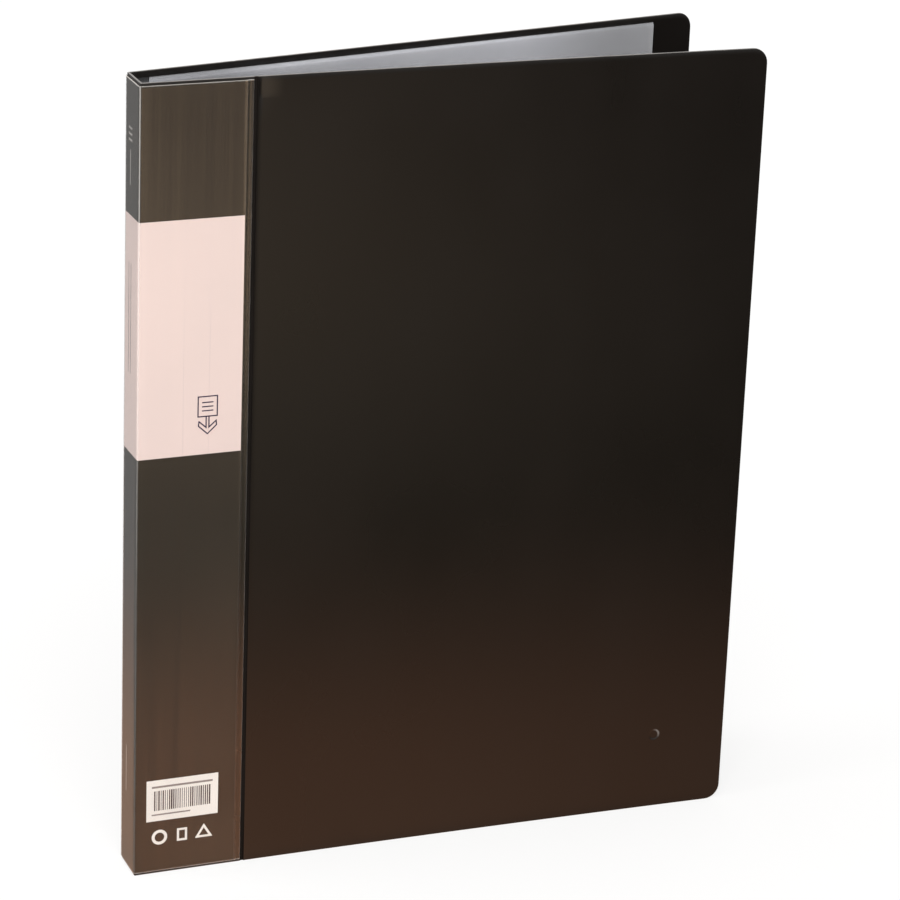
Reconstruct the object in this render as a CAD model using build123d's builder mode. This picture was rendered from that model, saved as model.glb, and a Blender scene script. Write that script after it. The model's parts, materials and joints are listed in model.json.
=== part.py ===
"""A4 display book with clear pockets, standing on its lower edges with the covers a little open.

Millimetres, +Z up. The spine stands on the left, the front cover runs along +X and faces -Y, and the
back cover stands behind it. The origin is the middle of the footprint, on the surface the book stands on.
"""

import os
from math import asin, cos, degrees, radians, sin

from build123d import *

# Cover: one folded sheet, parted at its two folds into front cover, spine and back cover
cover_height = 310.0
cover_width = 245.0  # outer face of the spine to the free edge of a cover
spine_width = 17.0  # over the outer faces of the closed covers
sheet = 0.8
free_corner_radius = 6.0
fold_gap = 0.1  # between the rounded fold and the panel beside it
score_width = 1.6  # groove pressed into the outside of a cover along the sleeve's welded edge
score_depth = 0.2
score_gap = 0.1  # sleeve's edge to the groove
back_rest_angle = 10.5  # degrees that the back cover stands open from square to the spine

# Clear sleeve round the outside of the spine, welded to both covers
sleeve_film = 0.2
sleeve_reach = 42.2  # outer face of the spine to the welded edge of the film
sleeve_inset = 1.0  # film below the cover's top edge and above its bottom edge
sleeve_weld = 2.2  # width of the weld band along the film's edge
parting_gap = 0.05  # film and insert are parted at a fold, by this when the cover lies flat

# Printed insert in the sleeve
insert_paper = 0.2
insert_play = 0.05  # on each side of the paper
insert_edge_gap = 0.3  # insert's edge to the weld band
insert_inset = 1.2  # paper below the cover's top edge and above its bottom edge

# Pockets: two films welded along three sides, open at the top
pocket_count = 20
pocket_film = 0.05
pocket_slot = 0.05  # room between the two films of an empty pocket
pocket_seam = 2.5  # width of the welds at the free edge and the foot
pocket_clear_start = 11.0  # rear fold to the inner weld of a pocket
pocket_setback = 18.1  # free edge of a cover to the free edges of the pockets
pocket_inset = 2.5  # pocket below the cover's top edge and above its bottom edge
weld_line = 0.02  # hairline between the films and the welds round them
pocket_bound_pitch = 0.375  # from leaf to leaf at the binding
pocket_free_pitch = 0.17  # from leaf to leaf at the free edge
pocket_stagger = 0.2  # each leaf is bound this much further from the fold than the one before it
pocket_bed = 0.2  # inner face of the back cover to the middle of the last leaf, where it is bound
pocket_rest_bed = 0.15  # the same, at the free edge

# Binding bar: the fused edges of the pockets, welded to the back cover beside its fold
binding_start = 2.0  # rear fold to the bar
binding_gap = 0.35  # bar to the bound edges, along the cover
last_leaf_bound = 8.0  # rear fold to the bound edge of the last leaf

# Places that follow from the sizes above, in plan from the middle of the spine's outer face
fold_radius = sheet / 2
panel_start = fold_radius + fold_gap
panel_length = cover_width - fold_radius - panel_start
fold_y = spine_width / 2 - fold_radius
sleeve_slot = insert_paper + 2 * insert_play
sleeve_stack = sleeve_slot + sleeve_film
sleeve_end = sleeve_reach - fold_radius
insert_end = sleeve_end - sleeve_weld - insert_edge_gap
insert_height = cover_height - 2 * insert_inset
sleeve_height = cover_height - 2 * sleeve_inset
pocket_thickness = 2 * pocket_film + pocket_slot
pocket_height = cover_height - 2 * pocket_inset
pocket_free_edge = cover_width - fold_radius - pocket_setback
pocket_clear_width = pocket_free_edge - pocket_seam - pocket_clear_start  # room for a 210 mm sheet

back_turn = radians(back_rest_angle)
back_along = Vector(cos(back_turn), sin(back_turn), 0)
back_outward = Vector(-sin(back_turn), cos(back_turn), 0)

# The footprint's box sets the origin
footprint_left = -sleeve_stack
footprint_front = -spine_width / 2 - sleeve_stack
footprint_right = cover_width
back_far_corner = Vector(fold_radius, fold_y, 0) + back_along * (cover_width - fold_radius)
footprint_rear = (back_far_corner + back_outward * fold_radius).Y
origin_x = -(footprint_left + footprint_right) / 2
origin_y = -(footprint_front + footprint_rear) / 2

front_fold_point = Vector(origin_x + fold_radius, origin_y - fold_y, 0)
rear_fold_point = Vector(origin_x + fold_radius, origin_y + fold_y, 0)

# Standing planes in the middle of each panel's sheet: local X runs along the panel, local Y is up
front_panel = Plane(origin=front_fold_point, x_dir=(1, 0, 0), z_dir=(0, -1, 0))
back_panel = Plane(origin=rear_fold_point, x_dir=back_along, z_dir=-back_outward)
spine_panel_plane = Plane(origin=front_fold_point, x_dir=(0, 1, 0), z_dir=(1, 0, 0))
# Plan plane of the back cover: local X runs along the cover, local Y points out of the book
back_plan = Plane(origin=rear_fold_point, x_dir=back_along, z_dir=(0, 0, 1))

os.makedirs("parts", exist_ok=True)


def write_part(part, name):
    """Label a finished piece and write it under its name."""
    part.label = name
    export_step(part, f"parts/{name}.step")


# Front and back covers; outward is the side of the panel plane that faces out of the book
for name, panel, outward in (("front_cover", front_panel, 1), ("back_cover", back_panel, -1)):
    with BuildPart() as cover:
        with BuildSketch(panel.offset(-sheet / 2)) as outline:
            with Locations((panel_start, 0)):
                Rectangle(panel_length, cover_height, align=(Align.MIN, Align.MIN))
            fillet(outline.vertices().group_by(Axis.X)[-1], radius=free_corner_radius)
        extrude(amount=sheet)
        with BuildSketch(panel.offset(outward * sheet / 2)):
            with Locations((sleeve_end + score_gap, 0)):
                Rectangle(score_width, cover_height, align=(Align.MIN, Align.MIN))
        extrude(amount=-outward * score_depth, mode=Mode.SUBTRACT)
    write_part(cover.part, name)

# Spine between the two folds
with BuildPart() as spine_panel:
    with BuildSketch(spine_panel_plane.offset(-sheet / 2)):
        with Locations((panel_start, 0)):
            Rectangle(2 * (fold_y - panel_start), cover_height, align=(Align.MIN, Align.MIN))
    extrude(amount=sheet)
write_part(spine_panel.part, "spine_panel")

# Rounded folds that the covers turn on
for name, point in (("front_fold", front_fold_point), ("rear_fold", rear_fold_point)):
    with BuildPart() as fold:
        with BuildSketch(Plane(origin=point)):
            Circle(fold_radius)
        extrude(amount=cover_height)
    write_part(fold.part, name)

# Sleeve film and printed insert: each runs round the spine as one piece on the real book, and is parted at
# the folds. The spine's piece ends on the hinge lines, and a cover's piece starts beside its hinge line.
insert_inner = fold_radius + insert_play
sleeve_inner = fold_radius + sleeve_slot

for name, inner, thickness, inset, height in (
    ("spine_insert", insert_inner, insert_paper, insert_inset, insert_height),
    ("spine_sleeve", sleeve_inner, sleeve_film, sleeve_inset, sleeve_height),
):
    with BuildPart() as spine_layer:
        with BuildSketch(spine_panel_plane.offset(-inner)):
            with Locations((0, inset)):
                Rectangle(2 * fold_y, height, align=(Align.MIN, Align.MIN))
        extrude(amount=-thickness)
    write_part(spine_layer.part, name)

# Insert on each cover
for name, panel, outward in (("front_insert", front_panel, 1), ("back_insert", back_panel, -1)):
    with BuildPart() as insert:
        with BuildSketch(panel.offset(outward * insert_inner)):
            with Locations((parting_gap, insert_inset)):
                Rectangle(insert_end - parting_gap, insert_height, align=(Align.MIN, Align.MIN))
        extrude(amount=outward * insert_paper)
    write_part(insert.part, name)

# Sleeve film and weld band on each cover
film_width = sleeve_end - sleeve_weld - weld_line - parting_gap
for name, panel, outward in (("front_sleeve", front_panel, 1), ("back_sleeve", back_panel, -1)):
    with BuildPart() as sleeve:
        with BuildSketch(panel.offset(outward * sleeve_inner)):
            with Locations((parting_gap, sleeve_inset)):
                Rectangle(film_width, sleeve_height, align=(Align.MIN, Align.MIN))
        extrude(amount=outward * sleeve_film)
        with BuildSketch(panel.offset(outward * fold_radius)):
            with Locations((sleeve_end, sleeve_inset)):
                Rectangle(sleeve_weld, sleeve_height, align=(Align.MAX, Align.MIN))
        extrude(amount=outward * sleeve_stack)
    write_part(sleeve.part, name)

# Binding bar: its sloping face keeps the same distance from every bound edge
last_leaf_height = fold_radius + pocket_bed
first_leaf_height = last_leaf_height + (pocket_count - 1) * pocket_bound_pitch
first_leaf_bound = last_leaf_bound - (pocket_count - 1) * pocket_stagger
binding_slope = pocket_stagger / pocket_bound_pitch
binding_top = first_leaf_height + pocket_thickness / 2
binding_top_edge = first_leaf_bound - binding_gap - binding_slope * pocket_thickness / 2
binding_foot_edge = last_leaf_bound - binding_gap + binding_slope * pocket_bed
with BuildPart() as binding_bar:
    with BuildSketch(back_plan.offset(pocket_inset)):
        with BuildLine():
            Polyline(
                (binding_start, -fold_radius),
                (binding_start, -binding_top),
                (binding_top_edge, -binding_top),
                (binding_foot_edge, -fold_radius),
                close=True,
            )
        make_face()
    extrude(amount=pocket_height)
write_part(binding_bar.part, "binding_bar")

# Pockets, numbered from the front: each leans a little towards the back cover at its free edge
for number in range(1, pocket_count + 1):
    leaves_behind = pocket_count - number
    bound = last_leaf_bound - leaves_behind * pocket_stagger
    bound_height = last_leaf_height + leaves_behind * pocket_bound_pitch
    free_height = fold_radius + pocket_rest_bed + leaves_behind * pocket_free_pitch
    lean = degrees(asin((bound_height - free_height) / (pocket_free_edge - bound)))
    leaf_turn = radians(back_rest_angle + lean)
    leaf_plan = Plane(
        origin=back_plan.from_local_coords(Vector(bound, -bound_height, pocket_inset)),
        x_dir=(cos(leaf_turn), sin(leaf_turn), 0),
        z_dir=(0, 0, 1),
    )
    clear_start = pocket_clear_start - bound
    clear_end = clear_start + pocket_clear_width
    with BuildPart() as pocket:
        with BuildSketch(leaf_plan):
            Circle(pocket_thickness / 2)
            Rectangle(clear_start - weld_line, pocket_thickness, align=(Align.MIN, Align.CENTER))
            with Locations((clear_end + weld_line, 0)):
                Rectangle(pocket_seam - weld_line, pocket_thickness, align=(Align.MIN, Align.CENTER))
        extrude(amount=pocket_height)
        with BuildSketch(leaf_plan):
            with Locations((clear_start, 0)):
                Rectangle(pocket_clear_width, pocket_thickness, align=(Align.MIN, Align.CENTER))
        extrude(amount=pocket_seam)
        with BuildSketch(leaf_plan.offset(pocket_seam + weld_line)):
            film_middle = (pocket_slot + pocket_film) / 2
            with Locations((clear_start, film_middle), (clear_start, -film_middle)):
                Rectangle(pocket_clear_width, pocket_film, align=(Align.MIN, Align.CENTER))
        extrude(amount=pocket_height - pocket_seam - weld_line)
    write_part(pocket.part, f"pocket_{number:02d}")
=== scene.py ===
"""Looks of a clear pocket display book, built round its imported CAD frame.

The book stands on its lower edges: a black cover folded from one sheet, a clear sleeve with a printed card
round the spine, and a block of clear pockets bound to the back cover. Sizes are in millimetres until a point
is placed.
"""

import json
import logging
from dataclasses import dataclass, field
from enum import Enum
from math import acos, cos, hypot, pi, radians, sin
from typing import Any, Callable, Sequence

import bmesh
import bpy
from mathutils import Matrix, Vector


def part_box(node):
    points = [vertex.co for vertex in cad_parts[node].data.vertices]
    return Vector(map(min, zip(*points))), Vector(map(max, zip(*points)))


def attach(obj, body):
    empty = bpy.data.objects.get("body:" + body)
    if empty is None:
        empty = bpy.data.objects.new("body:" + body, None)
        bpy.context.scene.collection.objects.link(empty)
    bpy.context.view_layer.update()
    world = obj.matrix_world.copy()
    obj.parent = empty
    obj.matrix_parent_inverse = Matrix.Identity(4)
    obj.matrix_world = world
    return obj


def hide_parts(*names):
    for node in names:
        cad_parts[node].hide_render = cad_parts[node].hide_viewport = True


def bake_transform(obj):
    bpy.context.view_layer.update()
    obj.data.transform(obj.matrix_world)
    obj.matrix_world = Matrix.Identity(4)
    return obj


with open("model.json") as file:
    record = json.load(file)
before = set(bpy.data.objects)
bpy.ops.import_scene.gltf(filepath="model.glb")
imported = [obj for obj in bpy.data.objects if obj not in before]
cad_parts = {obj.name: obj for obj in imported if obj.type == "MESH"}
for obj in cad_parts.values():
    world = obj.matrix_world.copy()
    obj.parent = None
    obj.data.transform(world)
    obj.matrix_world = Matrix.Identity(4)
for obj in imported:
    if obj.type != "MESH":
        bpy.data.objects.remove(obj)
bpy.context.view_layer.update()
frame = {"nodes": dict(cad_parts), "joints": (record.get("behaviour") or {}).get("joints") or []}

log = logging.getLogger("display_book")

MM = 0.001
SHARP_ANGLE = radians(40)
USUAL_NOISE = (0.3, 0.7)
FLOAT, INTEGER = "NodeSocketFloat", "NodeSocketInt"
GEOMETRY, MATERIAL = "NodeSocketGeometry", "NodeSocketMaterial"

Flat = tuple[float, float]
Triple = tuple[float, float, float]
Colour = tuple[float, float, float, float]
Place = Callable[[float, float, float], Vector]
Inputs = dict[Any, Any]
Material, Mesh, Piece = bpy.types.Material, bpy.types.Mesh, bpy.types.Object
Node, Socket, Tree = bpy.types.Node, bpy.types.NodeSocket, bpy.types.NodeTree


class Side(Enum):
    """The two covers of the book."""

    FRONT = "front"
    BACK = "back"

    @property
    def cover(self) -> str:
        """Name of the cover's body."""
        return f"{self.value}_cover"

    @property
    def fold(self) -> str:
        """Name of the CAD node of the cover's fold."""
        return "front_fold" if self is Side.FRONT else "rear_fold"

    @property
    def insert(self) -> str:
        """Name of the body of the card's panel on this cover."""
        return f"insert_{self.value}"


class Ink(Enum):
    """Printing inks of the card, as linear colours."""

    WHITE = (0.938, 0.889, 0.850, 1.0)
    NAVY = (0.026, 0.011, 0.060, 1.0)
    DARK = (0.060, 0.042, 0.050, 1.0)
    GREY = (0.30, 0.26, 0.25, 1.0)
    PALE = (0.42, 0.39, 0.37, 1.0)


def joint_named(name: str) -> dict[str, Any]:
    """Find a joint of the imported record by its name."""
    return next(joint for joint in frame["joints"] if joint["name"] == name)


def joint_place(name: str) -> Vector:
    """Give the plan position of a joint's axis, in millimetres."""
    return Vector(joint_named(name)["pos_m"][:2]) / MM


def spread(start: float, end: float, step: float) -> list[float]:
    """List even places from start towards end, about a step apart and without end itself."""
    count = max(1, round((end - start) / step))
    return [start + (end - start) * index / count for index in range(count)]


def between(value: float, knots: Sequence[tuple[float, ...]]) -> tuple[float, ...]:
    """Read a broken line through knots.

    Args:
        value: Where to read it.
        knots: Tuples of a place and the values there, in order of place.

    Returns:
        The values at that place, held level beyond the ends.
    """
    if value <= knots[0][0]:
        return knots[0][1:]
    for low, high in zip(knots, knots[1:]):
        if value <= high[0]:
            share = (value - low[0]) / (high[0] - low[0])
            return tuple(a + (b - a) * share for a, b in zip(low[1:], high[1:]))
    return knots[-1][1:]


@dataclass(frozen=True)
class CoverPlan:
    """One cover and its half of the spine as a developed strip.

    A place on the strip is its length s from the middle of the spine, its height z, and its offset out of the
    middle of the sheet. The strip goes straight along the spine, turns round the fold, and follows the cover.
    """

    fold: Vector
    along: Vector
    out: Vector
    spine_along: Vector
    half_spine: float
    length: float
    height: float
    bow: float
    turn: float = 1.4
    crease: float = 0.3
    bend_radius: float = 0.9
    spine_step: float = 2.0
    turn_step: float = 0.14
    spine_out: Vector = Vector((-1.0, 0.0))

    @classmethod
    def of(cls, side: Side, bow: float) -> "CoverPlan":
        """Read one cover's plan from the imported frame.

        Args:
            side: The cover.
            bow: How far the middle of the cover stands back from a straight line.

        Returns:
            The plan, in millimetres.
        """
        front, rear = joint_place("front_cover_hinge"), joint_place("back_cover_hinge")
        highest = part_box("front_cover")[1] / MM
        half = (rear - front).length / 2
        length = highest.x - front.x
        if side is Side.FRONT:
            return cls(front, Vector((1, 0)), Vector((0, -1)), Vector((0, 1)), half, length, highest.z, bow)
        open_by = radians(-joint_named("back_cover_hinge")["range_deg"][0])
        along = Vector((cos(open_by), sin(open_by)))
        out = Vector((-sin(open_by), cos(open_by)))
        return cls(rear, along, out, Vector((0, -1)), half, length, highest.z, bow)

    @property
    def panel(self) -> float:
        """Length along the strip at which the flat of the cover starts."""
        return self.half_spine + self.turn

    def columns(self, end: float) -> list[float]:
        """List places along the spine and on to end, which lies in the turn, close together there."""
        return spread(0, self.half_spine, self.spine_step) + spread(self.half_spine, end, self.turn_step)

    def inner_start(self, offset: float) -> float:
        """Give the distance from the fold at which a layer inside the fold is straight again."""
        return offset * self.out.dot(self.spine_along) / (1 + self.out.dot(self.spine_out)) + self.crease

    def point(self, step: Vector, z: float = 0.0) -> Vector:
        """Give the point, in metres, at a step from the fold in plan and a height."""
        return Vector((*(self.fold + step), z)) * MM

    def place(self, s: float, z: float, offset: float) -> Vector:
        """Turn a place on the strip into a point of the frame.

        Args:
            s: Length along the strip from the middle of the spine.
            z: Height above the floor.
            offset: Distance out of the middle of the sheet.

        Returns:
            The point in metres.
        """
        inside = offset < 0
        start = self.inner_start(offset) if inside else 0.0
        if s <= self.half_spine:
            share = (self.half_spine - s) / self.half_spine
            step = self.spine_along * (start + share * (self.half_spine - start)) + self.spine_out * offset
        elif s >= self.panel:
            share = (s - self.panel) / self.length
            reach = start + share * (self.length - start)
            step = self.along * reach + self.out * (offset - 4 * self.bow * share * (1 - share))
        else:
            share = (s - self.half_spine) / self.turn
            if inside:
                step = (self.spine_out + self.out) * (offset / (1 + self.spine_out.dot(self.out)))
                step = step + (self.spine_along * (1 - share) ** 2 + self.along * share**2) * self.crease
            else:
                whole = acos(self.spine_out.dot(self.out))
                step = self.spine_out * sin(whole * (1 - share)) + self.out * sin(whole * share)
                step = step * (offset / sin(whole))
        return self.point(step, z)

    def bend(self, piece: Piece, cover: str) -> None:
        """Bake a piece's place into its mesh; it does not bend round the fold."""
        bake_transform(piece)


def new_piece(
    name: str, mesh: Mesh, finish: Material, nodes: Sequence[str] = (), body: str | None = None
) -> Piece:
    """Put a finished mesh in the scene as a piece.

    Args:
        name: The piece's name.
        mesh: Its mesh, with its place in its vertices.
        finish: Its material.
        nodes: CAD nodes that it stands for.
        body: Body that carries it, or None to leave it unattached.

    Returns:
        The new object.
    """
    mesh.name = name
    mesh.materials.clear()
    mesh.materials.append(finish)
    piece = bpy.data.objects.new(name, mesh)
    bpy.context.scene.collection.objects.link(piece)
    if nodes:
        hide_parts(*nodes)
    if body is not None:
        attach(piece, body)
    log.info("%s: %d faces", name, len(mesh.polygons))
    return piece


def closed_mesh(name: str, points: Sequence[Vector], faces: Sequence[Sequence[int]]) -> Mesh:
    """Make a mesh of a closed shell whose faces all point outwards.

    Args:
        name: The mesh's name.
        points: Its corners, in metres.
        faces: Its faces as corner numbers.

    Returns:
        The mesh.
    """
    mesh = bpy.data.meshes.new(name)
    mesh.from_pydata(points, [], faces)
    shell = bmesh.new()
    shell.from_mesh(mesh)
    bmesh.ops.recalc_face_normals(shell, faces=shell.faces)
    shell.to_mesh(mesh)
    shell.free()
    return mesh


@dataclass(frozen=True)
class Sheet:
    """A thin sheet with rounded cut edges, drawn as a grid on a developed strip.

    Its first column is a plain end, and the other sides are cut edges, or the last column is a plain end too.
    skin gives the inner and outer offset at a place, place turns that place into a point, and marks holds
    functions of a place whose values are kept as point attributes.
    """

    columns: Sequence[float]
    rows: Sequence[float]
    end: float
    corner: float
    rim: float
    skin: Callable[[float, float], tuple[float, ...]]
    place: Place
    corner_steps: int = 8
    rim_steps: int = 3
    cut_end: bool = True
    marks: dict[str, Callable[[float, float], float]] = field(default_factory=dict)

    def lines(self) -> list[tuple[float, float, float, float]]:
        """List the grid's columns.

        Returns:
            For each column its length along the strip, its lowest and highest point, and the angle that the
            cut edge has turned to there, from 0 along the foot to a quarter turn at the free edge.
        """
        low, high = self.rows[0] + self.rim, self.rows[-1] - self.rim
        reach = self.corner - self.rim
        found = [(s, low, high, 0.0) for s in self.columns]
        for step in range(1, self.corner_steps + 1) if self.cut_end else ():
            angle = pi / 2 * step / self.corner_steps
            rise = reach * (1 - cos(angle))
            found.append((self.end - self.corner + reach * sin(angle), low + rise, high - rise, angle))
        return found

    def mesh(self, name: str) -> Mesh:
        """Build the sheet as one closed shell, with a rim attribute that is 1 along the cut edges.

        Args:
            name: The mesh's name.

        Returns:
            The mesh, shaded smooth with its creases kept.
        """
        lines = self.lines()
        low, high = lines[0][1:3]
        shares = [(min(max(z, low), high) - low) / (high - low) for z in self.rows]
        across, up, last = len(lines), len(shares), len(lines) - 1
        points: list[Vector] = []
        spots: list[Flat] = []
        faces: list[tuple[int, ...]] = []

        def add(s: float, z: float, offset: float) -> int:
            """Add a point.

            Args:
                s: Its length along the strip.
                z: Its height.
                offset: Its offset out of the sheet.

            Returns:
                Its number.
            """
            points.append(self.place(s, z, offset))
            spots.append((s, z))
            return len(points) - 1

        def at(layer: int, column: int, row: int) -> int:
            """Give the number of a grid point, with layer 0 outside."""
            return (layer * across + column) * up + row

        def ring(column: int, row: int, go_s: float, go_z: float) -> list[int]:
            """Round the cut edge beside a grid point.

            Args:
                column: The grid point's column.
                row: Its row.
                go_s: Share of the way out that runs along the strip.
                go_z: Share of the way out that runs upwards.

            Returns:
                Numbers of the edge's points, from the outer to the inner face.
            """
            s, foot, head, _ = lines[column]
            z = foot + shares[row] * (head - foot)
            inner, outer = self.skin(s, z)
            depths = [(sin(turn), outer - self.rim * (1 - cos(turn))) for turn in turns]
            depths += [(sin(turn), inner + self.rim * (1 - cos(turn))) for turn in reversed(turns)]
            go_s, go_z = go_s * self.rim, go_z * self.rim
            middle = [add(s + go_s * reach, z + go_z * reach, depth) for reach, depth in depths]
            return [at(0, column, row), *middle, at(1, column, row)]

        for layer in (0, 1):
            for s, foot, head, _ in lines:
                for z in (foot + share * (head - foot) for share in shares):
                    add(s, z, self.skin(s, z)[1 - layer])
            for column in range(last):
                for row in range(up - 1):
                    corners = ((column, row), (column + 1, row), (column + 1, row + 1), (column, row + 1))
                    faces.append(tuple(at(layer, *corner) for corner in corners))
        first_rim = len(points)
        turns = [pi / 2 * step / self.rim_steps for step in range(1, self.rim_steps + 1)]
        lower = [(c, 0, sin(lines[c][3]), -cos(lines[c][3])) for c in range(across)]
        side = [(last, row, 1.0, 0.0) for row in range(1, up - 1)]
        upper = [(c, up - 1, sin(lines[c][3]), cos(lines[c][3])) for c in reversed(range(across))]
        for chain in [lower + side + upper] if self.cut_end else [lower, upper]:
            rings = [ring(*spot) for spot in chain]
            for near, far in zip(rings, rings[1:]):
                for step in range(len(near) - 1):
                    faces.append((near[step], far[step], far[step + 1], near[step + 1]))
            faces += [tuple(rings[0]), tuple(rings[-1])]
        for column in (0,) if self.cut_end else (0, last):
            for row in range(up - 1):
                corners = ((0, row), (0, row + 1), (1, row + 1), (1, row))
                faces.append(tuple(at(layer, column, height) for layer, height in corners))
        mesh = closed_mesh(name, points, faces)
        values = {"rim": [float(index >= first_rim) for index in range(len(points))]}
        values.update({mark: [height(s, z) for s, z in spots] for mark, height in self.marks.items()})
        for mark, numbers in values.items():
            mesh.attributes.new(mark, "FLOAT", "POINT").data.foreach_set("value", numbers)
        mesh.shade_smooth()
        mesh.set_sharp_from_angle(angle=SHARP_ANGLE)
        return mesh


class Graph:
    """Adds nodes to one node tree and joins them. An input is given as a value or as a socket."""

    def __init__(self, tree: Tree) -> None:
        """Start on a tree, which keeps what it has."""
        self.tree = tree

    def feed(self, node: Node, inputs: Inputs) -> None:
        """Set inputs of a node.

        Args:
            node: The node.
            inputs: Values or sockets by the input's name or number.
        """
        for key, value in inputs.items():
            if isinstance(value, Socket):
                self.tree.links.new(value, node.inputs[key])
            else:
                node.inputs[key].default_value = value

    def add(self, kind: str, inputs: Inputs | None = None, **settings: Any) -> Node:
        """Add a node.

        Args:
            kind: The node's type.
            inputs: Values or sockets for its inputs, by name or number.
            settings: Values for its own properties.

        Returns:
            The node.
        """
        node = self.tree.nodes.new(kind)
        for name, value in settings.items():
            setattr(node, name, value)
        self.feed(node, inputs or {})
        return node

    def out(self, kind: str, inputs: Inputs | None = None, output: Any = 0, **settings: Any) -> Socket:
        """Add a node and give one of its outputs, by name or number."""
        return self.add(kind, inputs, **settings).outputs[output]

    def math(self, operation: str, *values: Any) -> Socket:
        """Work out an operation on values."""
        return self.out("ShaderNodeMath", dict(enumerate(values)), operation=operation)

    def blend(self, share: Any, first: Any, second: Any, kind: str = "MIX") -> Socket:
        """Mix two colours."""
        colours = {0: share, 6: first, 7: second}
        return self.out("ShaderNodeMix", colours, 2, data_type="RGBA", blend_type=kind)

    def scale(self, value: Any, low: float, high: float, first: float = 0.0, second: float = 1.0) -> Socket:
        """Map low..high to first..second, level beyond the ends."""
        return self.out("ShaderNodeMapRange", {0: value, 1: low, 2: high, 3: first, 4: second})

    def even(self, noise: Socket) -> Socket:
        """Stretch the usual range of a noise to 0..1."""
        return self.scale(noise, *USUAL_NOISE)

    def ramp(self, value: Any, stops: Sequence[tuple[float, Colour]]) -> Socket:
        """Read a smooth row of colours.

        Args:
            value: Where to read it, from 0 to 1.
            stops: Places and colours in order.

        Returns:
            The colour there.
        """
        node = self.add("ShaderNodeValToRGB", {0: value})
        node.color_ramp.interpolation = "EASE"
        elements = node.color_ramp.elements
        while len(elements) < len(stops):
            elements.new(0.5)
        for element, (place, colour) in zip(elements, stops):
            element.position, element.color = place, colour
        return node.outputs[0]

    def vector(self, x: Any = 0.0, y: Any = 0.0, z: Any = 0.0) -> Socket:
        """Join three values to a vector."""
        return self.out("ShaderNodeCombineXYZ", {0: x, 1: y, 2: z})

    def parts(self, vector: Socket) -> list[Socket]:
        """Part a vector into its three values."""
        return list(self.add("ShaderNodeSeparateXYZ", {0: vector}).outputs)

    def here(self) -> Socket:
        """Give the Object coordinates."""
        return self.out("ShaderNodeTexCoord", output="Object")

    def attribute(self, name: str) -> Socket:
        """Give a point attribute's value."""
        return self.out("ShaderNodeAttribute", output="Fac", attribute_name=name)

    def noise(self, where: Socket, scale: Any, detail: float) -> Socket:
        """Give a noise of that scale."""
        return self.out("ShaderNodeTexNoise", {"Vector": where, "Scale": scale, "Detail": detail})

    def bump(self, height: Socket, strength: float, distance: float) -> Socket:
        """Give the normal of a relief."""
        return self.out("ShaderNodeBump", {"Strength": strength, "Distance": distance, "Height": height})

    def mark(self, geometry: Socket, name: str, value: Any) -> Socket:
        """Store a value on a geometry's points."""
        inputs = {"Geometry": geometry, "Name": name, "Value": value}
        return self.out("GeometryNodeStoreNamedAttribute", inputs, data_type="FLOAT", domain="POINT")

    def solid(self, geometry: Socket) -> Socket:
        """Make a geometry's instances real."""
        return self.out("GeometryNodeRealizeInstances", {0: geometry})


class Group(Graph):
    """The graph of a new node group with named inputs and outputs."""

    def __init__(self, name: str, kind: str, inputs: dict[str, str], outputs: dict[str, str]) -> None:
        """Start the group.

        Args:
            name: The group's name.
            kind: Type of its tree.
            inputs: Socket types of its inputs by name.
            outputs: Socket types of its outputs by name.
        """
        super().__init__(bpy.data.node_groups.new(name, kind))
        for way, sockets in (("INPUT", inputs), ("OUTPUT", outputs)):
            for title, socket in sockets.items():
                self.tree.interface.new_socket(title, in_out=way, socket_type=socket)
        self.given = self.add("NodeGroupInput").outputs[: len(inputs)]

    def close(self, *results: Socket) -> Tree:
        """Join the results to the outputs in order and give the group's tree."""
        self.add("NodeGroupOutput", dict(enumerate(results)))
        return self.tree


@dataclass
class SurfaceEffects:
    """Shader node groups that several finishes share, each built once."""

    edge_scale: float = 160.0
    cell_share: float = 0.6
    grain: Tree = field(init=False)
    streaks: Tree = field(init=False)
    cut_edge: Tree = field(init=False)

    def build(self) -> None:
        """Build the groups."""
        self.grain = self._grain()
        self.streaks = self._streaks()
        self.cut_edge = self._cut_edge()

    def _start(self, name: str, inputs: Sequence[str], outputs: Sequence[str]) -> Group:
        """Start a group whose inputs and outputs are all plain values."""
        return Group(name, "ShaderNodeTree", dict.fromkeys(inputs, FLOAT), dict.fromkeys(outputs, FLOAT))

    def _grain(self) -> Tree:
        """Build the fine pressed grain with slow mottling under it.

        Returns:
            The group.
        """
        group = self._start("pressed_grain", ("Fineness", "Mottle Size"), ("Height", "Mottle"))
        fineness, mottle_size = group.given
        where = group.here()
        cells = group.out("ShaderNodeTexVoronoi", {"Vector": where, "Scale": fineness}, "Distance")
        height = group.math("MULTIPLY_ADD", cells, self.cell_share, group.noise(where, fineness, detail=2.0))
        return group.close(height, group.noise(where, mottle_size, detail=4.0))

    def _streaks(self) -> Tree:
        """Build faint upright streaks, as on drawn film and wiped sheet.

        Returns:
            The group.
        """
        group = self._start("upright_streaks", ("Across", "Along"), ("Streak",))
        across, along = group.given
        stretch = {0: group.here(), 1: group.vector(across, across, along)}
        stretched = group.out("ShaderNodeVectorMath", stretch, operation="MULTIPLY")
        return group.close(group.noise(stretched, 1.0, detail=3.0))

    def _cut_edge(self) -> Tree:
        """Build the mask of a sheet's cut edges, a little uneven along them.

        Returns:
            The group.
        """
        group = self._start("cut_edge", ("Unevenness",), ("Mask",))
        uneven = group.noise(group.here(), self.edge_scale, detail=3.0)
        kept = group.math("SUBTRACT", 1.0, group.math("MULTIPLY", uneven, group.given[0]))
        return group.close(group.math("MULTIPLY", group.attribute("rim"), kept))


effects = SurfaceEffects()


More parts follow.
